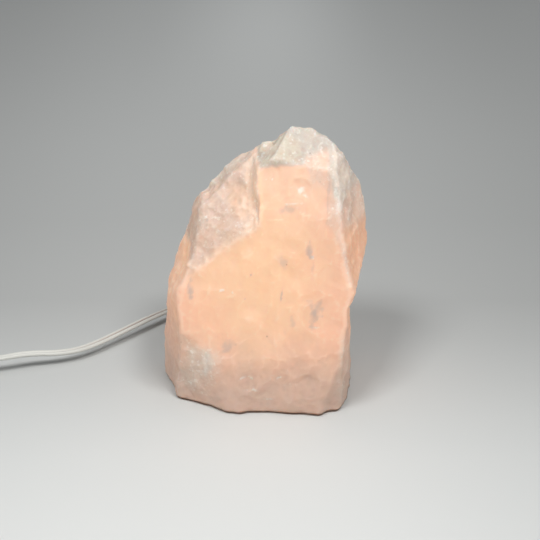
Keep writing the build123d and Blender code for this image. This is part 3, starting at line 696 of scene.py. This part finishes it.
def filamentPoint(across):
    # The filament rises to two peaks and dips between them.
    part = abs(across) / filament["halfWidth"]
    if part < 0.5:
        height = (filament["rise"] + filament["dip"]) / 2
        height -= (filament["rise"] - filament["dip"]) / 2 * math.cos(math.tau * part)
    else:
        height = filament["rise"] / 2 * (1 + math.cos(math.tau * (part - 0.5)))
    return Vector((across, filament["setBack"], filament["bottom"] + height))


def makeFilament():
    steps = filament["coils"] * filament["pointsEachCoil"]
    fine = [filamentPoint(filament["halfWidth"] * (number / steps - 1)) for number in range(2 * steps + 1)]
    lengths = travelled(fine)
    back = Vector((0, 1, 0))
    line = []
    for number in range(steps + 1):
        place = min(int(np.searchsorted(lengths, lengths[-1] * number / steps)), 2 * steps)
        along = (fine[min(place + 1, 2 * steps)] - fine[max(place - 1, 0)]).normalized()
        angle = math.tau * number / filament["pointsEachCoil"]
        out = math.cos(angle) * along.cross(back) + math.sin(angle) * back
        line.append(fine[place] + filament["coilRadius"] * out)
    angles = [math.tau * side / filament["wireSides"] for side in range(filament["wireSides"])]
    section = [filament["wireRadius"] * Vector((math.cos(angle), math.sin(angle), 0)) for angle in angles]
    bm = bmesh.new()
    sweepSection(bm, section, cordFrames(line, lambda distance: 0))
    piece = newPiece("filamentCoil", bm, "bulb_cap", "glowing_filament")
    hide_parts("bulb_filament")


makeFilament()
print("small parts made")

plugNodes = [nodes[name] for name in nodes if name.startswith("plug_")]
plugNodes + [nodes["cord_ties"], makePlugGrips(), makeTieEnds()]


# Block of quartz: the CAD block's own faces, broken and chipped at their real scale

# From bend to flute: how far the surface moves, and the size of the noise that moves it
stone = {
    "voxel": 0.00104, "boreRadius": 0.021, "boreSetBack": 0.003, "boreTop": 0.101, "baseHeight": 0.0012,
    "groove": (0.0055, 0.050, 0.010), "rounding": 5, "spreading": 6, "litSpreading": 14, "swell": 0.0006,
    "bend": (0.0013, 0.024), "wobble": (0.0007, 0.009), "scoop": (0.0026, 0.014), "chip": (0.0013, 0.0056),
    "grain": (0.0005, 0.0026), "flute": (0.0006, 0.006), "fluteStretch": (1.0, 1.0, 0.16), "scoopBend": 0.25,
    "sunk": {"right waist": 0.0014, "right heel": 0.0014, "left crown": 0.0016, "right crown": 0.0010},
    "ridgeGain": 9, "ridgeSpreading": 3, "ridgeRough": 0.45, "ridgeFrost": 0.20, "roughest": 1.1,
    "creamShare": 0.35, "baseFade": 0.006, "relief": ((2, 0.00016), (9, 0.0005)),
    "towards": (0.25, 5), "facing": (-0.35, 4), "bowlTilt": 1.2, "bowlStep": 0.3, "scarStep": 0.4,
}
# How marks and places get their ragged edges: the size, reach and seed of each noise
ragged = {"mark": ((0.0032, 0.45, 71), (0.0016, 0.45, 72)), "markEdge": 1.35,
          "place": ((0.007, 1.1, 81), (0.0028, 0.6, 91))}
# Natural faces by bearing (0 is the front, 90 the right) and lean, with how rough, how frosted, how
# fluted and how well lit from inside each is
stoneFaces = {
    "front": (-6, 15, 0.22, 0.04, 0.5, 1.0), "front toe": (-4, 2, 0.35, 0.10, 0.1, 1.0),
    "left toe": (-29, -6, 0.40, 0.20, 0.2, 0.9), "right toe": (30, -8, 0.45, 0.20, 0.2, 0.8),
    "right heel": (66, -3, 0.45, 0.30, 0.3, 0.6), "left": (-72, 1, 0.45, 0.15, 0.4, 0.75),
    "left flank": (-88, 2, 0.50, 0.20, 0.4, 0.8), "left shoulder": (-82, 22, 0.58, 0.34, 0.3, 0.95),
    "left slope": (-85, 36, 0.66, 0.46, 0.0, 0.66), "left crown": (-80, 48, 0.75, 0.75, 0.0, 0.20),
    "frosted": (-30, 38, 0.50, 0.45, 0.0, 0.60), "frosted step": (-84, 4, 0.50, 0.45, 0.0, 1.7),
    "front crown": (5, 50, 0.65, 0.80, 0.0, 0.10), "right crown": (85, 70, 0.70, 0.90, 0.0, 0.10),
    "right top": (76, 44, 0.65, 0.90, 0.0, 0.70), "right shoulder": (80, 22, 0.55, 0.48, 0.6, 0.90),
    "right bulge": (68, 13, 0.50, 0.15, 0.8, 0.95), "right waist": (88, 2, 0.45, 0.15, 0.8, 0.85),
    "right brow": (85, -20, 0.50, 0.15, 0.8, 0.80), "back": (178, 8, 0.45, 0.25, 0.5, 0.90),
    "back left": (-140, 10, 0.50, 0.35, 0.4, 0.75), "back right": (128, 3, 0.50, 0.35, 0.4, 0.75),
    "back top": (170, 32, 0.70, 0.60, 0.0, 0.55), "back left slope": (-125, 36, 0.70, 0.60, 0.0, 0.50),
    "back right slope": (125, 34, 0.75, 0.65, 0.0, 0.50),
}
# Places on the front that differ from the face they lie on: outline as across and height in
# millimetres, then how frosted, how cream and how well lit, and how soft the edge is
frontPlaces = [
    ([(-27, 135), (-19, 142), (-10, 150), (-4, 154), (-3, 149), (-4, 136), (-5, 127), (-7, 121), (-10, 118),
      (-16, 114), (-22, 110), (-29, 105), (-35, 100), (-39, 95), (-45, 91), (-48, 98), (-52, 100), (-52, 106),
      (-45, 116), (-38, 127)], 0.58, 0.0, 0.42, 1.8),
    ([(-21, 131), (-19, 135), (-14, 137), (-9, 136), (-7, 131), (-9, 125), (-12, 121), (-17, 121),
      (-21, 125)], 0.15, 0.0, 0.55, 2.2),
    ([(-10, 156), (-3, 156), (-4, 136), (-4, 120), (-8, 118), (-10, 130)], 0.60, 0.3, 0.80, 1.5),
    ([(-6, 156), (5, 162), (14, 174), (32, 174), (45, 166), (52, 158), (39, 160), (29, 158), (25, 157),
      (22, 155), (11, 155), (-1, 154)], 0.80, 0.2, 0.08, 1.4),
    ([(-4, 156), (2, 159), (10, 166), (15, 169), (21, 164), (23, 156), (11, 155),
      (-1, 154)], 0.75, 1.0, 0.15, 2.0),
    ([(25, 158), (39, 161), (40, 151), (38, 142), (32, 144), (28, 141), (26, 150)], 0.50, 0.0, 0.85, 2.0),
    ([(39, 161), (45, 164), (52, 154), (58, 143), (62, 132), (65, 121), (56, 125), (48, 131), (41, 136),
      (39, 147)], 0.95, 0.15, 0.40, 2.2),
    ([(-49, 48), (-36, 47), (-27, 39), (-31, 24), (-40, 10), (-52, 7), (-56, 17)], 0.66, 0.3, 0.95, 6.0),
    ([(46, 55), (52, 40), (53, 7), (48, 2), (43, 16), (45, 39)], 0.50, 0.3, 0.8, 2.5),
    ([(39, 140), (45, 136), (47, 122), (49, 106), (51, 95), (54, 84), (50, 87), (48, 101), (44, 112),
      (40, 118), (38, 122)], 0.50, 0.0, 0.85, 1.6),
    ([(42, 161), (46, 160), (52, 146), (50, 130), (45, 132), (43, 146)], 1.0, 0.1, 0.95, 2.0),
    ([(44, 136), (54, 138), (70, 132), (70, 110), (55, 114), (47, 120)], 0.62, 0.0, 0.75, 4.5),
    ([(-38, 42), (-34, 42), (-33, 31), (-36, 26), (-38, 33)], 0.85, 0.0, 0.9, 2.2),
    ([(2, 22), (20, 29), (38, 36), (39, 30), (22, 22), (6, 15)], 0.34, 0.0, 1.0, 3.5),
]
# Marks in the front: across, height, half width and half height in millimetres, turn and strength
greyVeils = [
    (27.3, 107, 2, 5, 8, 0.9), (29, 95, 1.2, 5.5, -5, 0.5), (10.6, 99, 2.4, 4.5, 20, 0.5),
    (30.6, 68, 2.8, 6.8, -18, 1), (28, 74, 2, 3.2, 30, 0.7), (33.5, 75, 1.1, 3, -15, 0.6),
    (17.3, 64, 2, 3.8, 15, 0.55), (10.3, 78.5, 0.7, 4, -8, 0.9), (-45, 78, 1.8, 5.5, 5, 0.85),
    (-22.3, 46, 4, 2.8, 30, 0.6), (15, 129.5, 6.2, 2, 10, 0.5), (-4.5, 132, 0.6, 9, 3, 0.7),
    (-3, 131, 0.4, 5, 0, 0.6), (38, 140, 0.7, 12, -3, 0.45), (50, 123, 2.6, 1.3, 25, 0.8),
    (53, 128, 1.6, 0.6, 40, 0.7), (-8, 90.5, 0.8, 0.7, 0, 0.9), (-12, 76, 0.5, 1, 20, 0.7),
    (-35, 116, 0.7, 0.6, 0, 0.8), (-50, 104, 0.6, 0.7, 0, 0.8),
]
whitePatches = [
    (21.8, 141, 3, 3.4, 15, 1), (24, 138.5, 2.2, 1.6, -30, 0.8), (16, 142.5, 2.6, 1, 10, 0.5),
    (28.8, 102.5, 1, 2.2, 12, 0.9), (17.1, 133, 6.4, 0.9, 6, 0.7), (20.5, 130.8, 4, 0.6, -12, 0.5),
    (4.6, 146, 0.9, 1, 0, 1), (0.8, 146, 0.8, 0.6, 0, 0.9), (-36.8, 33, 1.2, 7.8, 4, 0.7),
    (-26.2, 80, 1.8, 1, 30, 0.9), (-19.6, 79.5, 1.4, 0.9, -20, 0.8), (31, 60.5, 3.6, 0.6, 10, 0.7),
    (34.5, 70, 0.6, 4, -20, 0.5), (-30, 118, 3, 1, 10, 0.9), (-25, 112, 5, 1.2, -12, 0.8),
    (-11, 118, 3.4, 0.9, 30, 0.7), (-13.8, 25.8, 2.8, 0.9, 28, 0.9), (-8.8, 26.2, 2.6, 0.9, -35, 1),
    (-6.2, 18, 3.2, 0.9, -22, 1), (-11.8, 17.6, 2.4, 0.9, 12, 0.8), (8.8, 27.2, 2.6, 0.9, 18, 0.9),
    (4.8, 28.5, 1.8, 0.9, -15, 0.7), (2, 11.2, 4.2, 0.9, 4, 0.7), (48, 48, 0.7, 6, 3, 0.6),
    (-44, 18, 3, 1, 30, 0.6), (-30, 26, 2.2, 0.8, -30, 0.5),
]
# Flake scars: across, height, radius and depth in millimetres, and the turn of the step that ends each
flakeScars = [
    (-11.6, 24, 6.5, 1.2, 170), (-5.6, 17, 5, 0.9, 195), (8.4, 29, 6, 0.9, 150), (1.4, 9.5, 6.5, 1, 180),
    (28.4, 20, 11, 0.9, 210), (-31.6, 13, 9, 1, 160), (21.8, 141, 6.5, 1.2, 20), (17.4, 129, 9, 0.8, 340),
    (-25.6, 47, 8, 0.9, 200), (31.4, 66, 8, 0.8, 250), (-41.6, 80, 8, 0.9, 80), (4.4, 150, 7, 1.2, 0),
    (-14.6, 129, 9, 1.2, 90), (40.4, 90, 9, 1, 280),
]
scatteredScars = {"seed": 11, "count": 60, "radius": (0.004, 0.012), "depth": (0.0006, 0.0018)}


def outward(bearing, lean):
    turn = math.radians(bearing)
    rise = math.radians(lean)
    return (math.cos(rise) * math.sin(turn), -math.cos(rise) * math.cos(turn), math.sin(rise))


def cellRandom(cells, seed):
    # A fixed random number from 0 to 1 for each cell of space: the large numbers only scramble it.
    mixed = cells[..., 0] * 73856093 ^ cells[..., 1] * 19349663 ^ cells[..., 2] * 83492791 ^ seed * 374761393
    mixed = (mixed ^ (mixed >> 13)) * 1274126177
    mixed = mixed ^ (mixed >> 16)
    return (mixed & 65535) / 65535.0


def cellPlaces(cells, seed):
    return np.stack([cellRandom(cells, seed + axis) for axis in range(3)], axis=1)


def cornerCells(reach):
    return [np.array((x, y, z)) for x in reach for y in reach for z in reach]


def softNoise(points, size, seed):
    # Smooth noise from -1 to 1.
    scaled = points / size
    base = np.floor(scaled).astype(np.int64)
    part = scaled - base
    part = part * part * (3 - 2 * part)
    total = np.zeros(len(points))
    for corner in cornerCells((0, 1)):
        share = np.prod(np.where(corner == 1, part, 1 - part), axis=1)
        total += share * cellRandom(base + corner, seed)
    return 2 * total - 1


def noiseShift(points, size, seed):
    return np.stack([softNoise(points, size, seed + axis) for axis in range(3)], axis=1)


def scoops(points, size, seed):
    # Shell-shaped scoops: each point takes the lowest of the tilted bowls round it.
    scaled = points / size
    base = np.floor(scaled).astype(np.int64)
    lowest = np.full(len(points), 9.0)
    for corner in cornerCells((-1, 0, 1)):
        cells = base + corner
        tilt = cellPlaces(cells, seed + 5) * 2 - 1
        away = scaled - cells - cellPlaces(cells, seed)
        bowl = (away * away).sum(axis=1) + stone["bowlTilt"] * (tilt * away).sum(axis=1)
        bowl += stone["bowlStep"] * tilt[:, 0]
        lowest = np.minimum(lowest, bowl)
    return lowest - lowest.mean()


def spreadOver(values, pairs, turns):
    # Averages with the neighbours along the mesh's edges.
    count = len(values)
    degree = np.bincount(pairs.ravel(), minlength=count) + 1.0
    columns = values.reshape(count, -1)
    for turn in range(turns):
        summed = []
        for column in columns.T:
            total = np.bincount(pairs[:, 0], weights=column[pairs[:, 1]], minlength=count)
            total += np.bincount(pairs[:, 1], weights=column[pairs[:, 0]], minlength=count)
            summed.append((column + total) / degree)
        columns = np.stack(summed, axis=1)
    return columns.reshape(values.shape)


def unit(vectors):
    return vectors / np.maximum(np.linalg.norm(vectors, axis=1, keepdims=True), 1e-9)


def frontShare(normals, start, gain):
    # 1 where the stone faces the front, 0 where it faces away.
    return np.clip((start - normals[:, 1]) * gain, 0, 1)


def markMask(points, facing, marks):
    edge = ragged["markEdge"]
    for size, reach, seed in ragged["mark"]:
        edge = edge + reach * softNoise(points, size, seed)
    mask = np.zeros(len(points))
    for across, height, halfWidth, halfHeight, turn, strength in marks:
        aside, above = points[:, 0] / millimetre - across, points[:, 2] / millimetre - height
        level, plumb = math.cos(math.radians(turn)), math.sin(math.radians(turn))
        away = np.hypot((aside * level + above * plumb) / halfWidth,
                        (above * level - aside * plumb) / halfHeight)
        mask = np.maximum(mask, np.clip(edge - away, 0, 1) * strength)
    return mask * facing


def outlineMask(points, outline, soft):
    # 1 inside an outline drawn on the front, 0 outside it, with a ragged edge.
    flat = points[:, [0, 2]] / millimetre
    for size, reach, seed in ragged["place"]:
        flat = flat + reach * noiseShift(points, size, seed)[:, :2]
    nearest = np.full(len(flat), np.inf)
    inside = np.zeros(len(flat), dtype=bool)
    for start, end in zip(outline, outline[1:] + outline[:1]):
        start, end = np.array(start, float), np.array(end, float)
        run = end - start
        along = np.clip((flat - start) @ run / (run @ run), 0, 1)
        nearest = np.minimum(nearest, np.linalg.norm(flat - start - along[:, None] * run, axis=1))
        if start[1] != end[1]:
            crossing = (start[1] > flat[:, 1]) != (end[1] > flat[:, 1])
            inside ^= crossing & (flat[:, 0] < start[0] + run[0] * (flat[:, 1] - start[1]) / run[1])
    return np.clip(0.5 + np.where(inside, nearest, -nearest) / (2 * soft), 0, 1)


def scarDepth(aside, above, radius, depth, turn):
    # A shallow scar that deepens towards a step at one side.
    turn = math.radians(turn)
    towards = (aside * math.sin(turn) + above * math.cos(turn)) / radius
    away = np.hypot(aside, above) / radius
    step = 1 - stone["scarStep"] + stone["scarStep"] * np.clip(towards, -1, 1)
    return depth * np.sqrt(np.clip(1 - away, 0, 1)) * step


def carveScars(points, normals, facing):
    depth = np.zeros(len(points))
    for *lengths, turn in flakeScars:
        across, height, radius, deep = [millimetre * length for length in lengths]
        depth += facing * scarDepth(points[:, 0] - across, points[:, 2] - height, radius, deep, turn)
    chance = random.Random(scatteredScars["seed"])
    for number in range(scatteredScars["count"]):
        centre = chance.randrange(len(points))
        radius = chance.uniform(*scatteredScars["radius"])
        deep = chance.uniform(*scatteredScars["depth"])
        turn = chance.uniform(0, 360)
        away = points - points[centre]
        side = unit(np.cross(normals[centre], (0.1, 0.2, 1.0))[None])[0]
        upward = np.cross(side, normals[centre])
        close = np.abs(away @ normals[centre]) < radius
        kept = close * (facing < 0.5)
        depth += kept * scarDepth(away @ side, away @ upward, radius, deep, turn)
    return depth


def makeStone():
    bm = bmesh.new()
    bm.from_mesh(nodes["quartz_body"].data)
    bmesh.ops.remove_doubles(bm, verts=bm.verts, dist=0.00001)
    faceTree = BVHTree.FromBMesh(bm)
    block = newPiece("stone", bm, "crystal", "rose_quartz")
    remesh = block.modifiers.new("fine", "REMESH")
    remesh.mode, remesh.voxel_size = "VOXEL", stone["voxel"]
    shaped = bpy.data.meshes.new_from_object(block.evaluated_get(bpy.context.evaluated_depsgraph_get()))
    block.modifiers.clear()
    plain = block.data
    block.data = shaped
    bpy.data.meshes.remove(plain)

    points = readVectors(shaped.vertices, "co")
    pairs = np.empty(len(shaped.edges) * 2, dtype=np.int64)
    shaped.edges.foreach_get("vertices", pairs)
    pairs = pairs.reshape(-1, 2)
    faceNormals = np.array([faceTree.find_nearest(point)[1] for point in points])
    directions = np.array([outward(bearing, lean) for bearing, lean, *rest in stoneFaces.values()])
    finish = np.array([(*values[2:], stone["sunk"].get(name, 0)) for name, values in stoneFaces.items()])
    finish = finish[(faceNormals @ directions.T).argmax(axis=1)]

    # The bore, the groove and the sawn base stay as they are
    aside = np.hypot(points[:, 0], points[:, 1] - stone["boreSetBack"])
    above = np.maximum(points[:, 2] - (stone["boreTop"] - stone["boreRadius"]), 0)
    kept = np.hypot(aside, above) < stone["boreRadius"] + 1.5 * stone["voxel"]
    halfWidth, length, height = stone["groove"]
    kept |= ((np.abs(points[:, 0]) < halfWidth) & (points[:, 1] > 0) & (points[:, 1] < length)
             & (points[:, 2] < height))
    base = points[:, 2] < stone["baseHeight"] + 0.7 * stone["voxel"]
    free = (1.0 - kept)[:, None]

    finish = spreadOver(finish, pairs, stone["spreading"])
    rounded = spreadOver(points, pairs, stone["rounding"])
    points = points + (rounded - points) * free * (1.0 - base)[:, None]
    normals = unit(spreadOver(faceNormals, pairs, stone["spreading"]))
    ridge = np.clip((1 - (normals * faceNormals).sum(axis=1)) * stone["ridgeGain"], 0, 1)
    ridge = spreadOver(ridge, pairs, stone["ridgeSpreading"])

    rough, frost, fluted, lit, sunk = finish.T
    lit = spreadOver(lit, pairs, stone["litSpreading"])
    looks = np.stack((frost, stone["creamShare"] * frost, lit), axis=1)
    towards = frontShare(normals, *stone["towards"])
    for outline, *changed, soft in frontPlaces:
        looks += (changed - looks) * (towards * outlineMask(points, outline, soft))[:, None]
    frost, cream, lit = looks.T
    rough = np.clip(rough + stone["ridgeRough"] * ridge, 0, stone["roughest"])
    facing = frontShare(faceNormals, *stone["facing"])
    bend, wobble, scoop, chip, grain, flute = [
        stone[name] for name in ("bend", "wobble", "scoop", "chip", "grain", "flute")]
    bent = points + stone["scoopBend"] * scoop[1] * noiseShift(points, scoop[1], 21)
    tall = np.array(stone["fluteStretch"])
    shift = stone["swell"] - sunk + rough * scoop[0] * scoops(bent, scoop[1], 31)
    shift += rough * chip[0] * scoops(bent, chip[1], 41)
    shift += rough * grain[0] * scoops(points, grain[1], 51)
    shift += fluted * flute[0] * softNoise(points * tall, flute[1], 61)
    shift -= carveScars(points, normals, facing)
    move = normals * shift[:, None]
    move += bend[0] * noiseShift(points, bend[1], 1) + wobble[0] * noiseShift(points, wobble[1], 11)
    move[:, 2] *= np.clip((points[:, 2] - stone["baseHeight"]) / stone["baseFade"], 0, 1)
    points = points + move * free
    points[:, 2] = np.maximum(points[:, 2], stone["baseHeight"])
    shaped.vertices.foreach_set("co", points.ravel())

    veil = markMask(points, facing, greyVeils)
    white = markMask(points, facing, whitePatches)
    frost = np.clip(frost + stone["ridgeFrost"] * ridge, 0, 1)
    # Relief: how far each point stands out from its neighbours; the shader uses it for frosted ridges with a
    # painted highlight, and for painted shade in the hollows
    relief = sum(np.clip(((points - spreadOver(points, pairs, turns)) * normals).sum(axis=1) / full, -1, 1)
                 for turns, full in stone["relief"])
    relief = np.clip(relief * free[:, 0], -1, 1)
    finishes = {"frost": frost, "veil": veil, "white": white, "cream": cream, "lit": lit, "relief": relief}
    for name, values in finishes.items():
        writeValues(shaped, name, values)
    shaped.polygons.foreach_set("use_smooth", [True] * len(shaped.polygons))
    shaped.update()
    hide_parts("quartz_body")
    print("stone made with", len(shaped.polygons), "faces")


makeStone()


# Floor and light

stage = {
    "floorSize": 3.0, "world": (0.96, 0.98, 1.0, 1), "worldStrength": 0.155, "tint": (0.982, 1.0, 0.988),
    # Floor tones from the front to the back, as distance along Y and grey: painted light and shade, so that
    # the lit floor is bright in front and darker further back
    "tones": [(-0.25, 0.73), (-0.16, 0.735), (-0.095, 0.705), (-0.053, 0.665), (-0.006, 0.605), (0.046, 0.55),
              (0.104, 0.505), (0.243, 0.53), (0.425, 0.605), (0.674, 0.69), (0.90, 0.775)],
    "haloWidth": 0.15, "haloReach": (0.35, 0.85), "halo": 0.20,
    "edgeShade": 0.17, "edgeReach": (0.05, 0.34), "brightest": -0.04, "roughness": 0.85, "specular": 0.2,
}
# Each lamp's place, aim, size, power and colour
lamps = {
    "leftKey": ((-0.34, -0.50, 1.05), (0, 0, 0.05), (0.34, 0.24), 5.95, (1, 1, 0.99)),
    "rightKey": ((0.34, -0.50, 1.08), (0, 0, 0.05), (0.34, 0.24), 6.2, (1, 1, 0.99)),
    "top": ((0.05, 0.10, 1.50), (0, 0.05, 0.05), (0.9, 0.9), 2.7, (0.98, 0.99, 1)),
}


def makeFloor():
    material, tree = newMaterial("paleFloor")
    place = addNode(tree, "SeparateXYZ", {"Vector": objectPoint(tree)}).outputs
    nearest, farthest = stage["tones"][0][0], stage["tones"][-1][0]
    share = addNode(tree, "MapRange", {
        "Value": place["Y"], "From Min": nearest, "From Max": farthest}).outputs["Result"]
    ramp = addNode(tree, "ValToRGB", {"Fac": share})
    tones = ramp.color_ramp.elements
    for along, grey in stage["tones"][1:-1]:
        tones.new((along - nearest) / (farthest - nearest))
    for tone, (along, grey) in zip(tones, stage["tones"]):
        tone.color = (*(grey * part for part in stage["tint"]), 1)
    # Painted shade towards the sides, and a painted pool of light far behind the middle
    out = maths(tree, "ABSOLUTE", maths(tree, "SUBTRACT", place["X"], stage["brightest"]))
    out = rampMask(tree, out, *stage["edgeReach"])
    dimmed = maths(tree, "SUBTRACT", 1.0, maths(tree, "MULTIPLY", out, stage["edgeShade"]))
    halo = rampMask(tree, maths(tree, "ABSOLUTE", place["X"]), stage["haloWidth"], 0.0)
    halo = maths(tree, "MULTIPLY", halo, rampMask(tree, place["Y"], *stage["haloReach"]))
    dimmed = maths(tree, "ADD", dimmed, maths(tree, "MULTIPLY", halo, stage["halo"]))
    closeMaterial(material, {
        "Base Color": mixColors(tree, 1.0, ramp.outputs["Color"], dimmed, blend="MULTIPLY"),
        "Roughness": stage["roughness"], "Specular IOR Level": stage["specular"]})
    bm = bmesh.new()
    bmesh.ops.create_grid(bm, x_segments=1, y_segments=1, size=stage["floorSize"])
    newMesh("floor", bm, material)


def makeLight():
    world = bpy.data.worlds.new("studio")
    bpy.context.scene.world = world
    world.use_nodes = True
    background = world.node_tree.nodes["Background"]
    background.inputs["Color"].default_value = stage["world"]
    background.inputs["Strength"].default_value = stage["worldStrength"]
    for name, (place, aim, size, power, color) in lamps.items():
        data = bpy.data.lights.new(name, "AREA")
        data.shape = "RECTANGLE"
        data.size, data.size_y = size
        data.energy, data.color = power, color
        lamp = addObject(name, data)
        lamp.location = place
        lamp.rotation_euler = (Vector(aim) - Vector(place)).to_track_quat("-Z", "Y").to_euler()


makeFloor()
makeLight()
bpy.context.scene.view_settings.view_transform = "Standard"
print("floor and lamps placed")
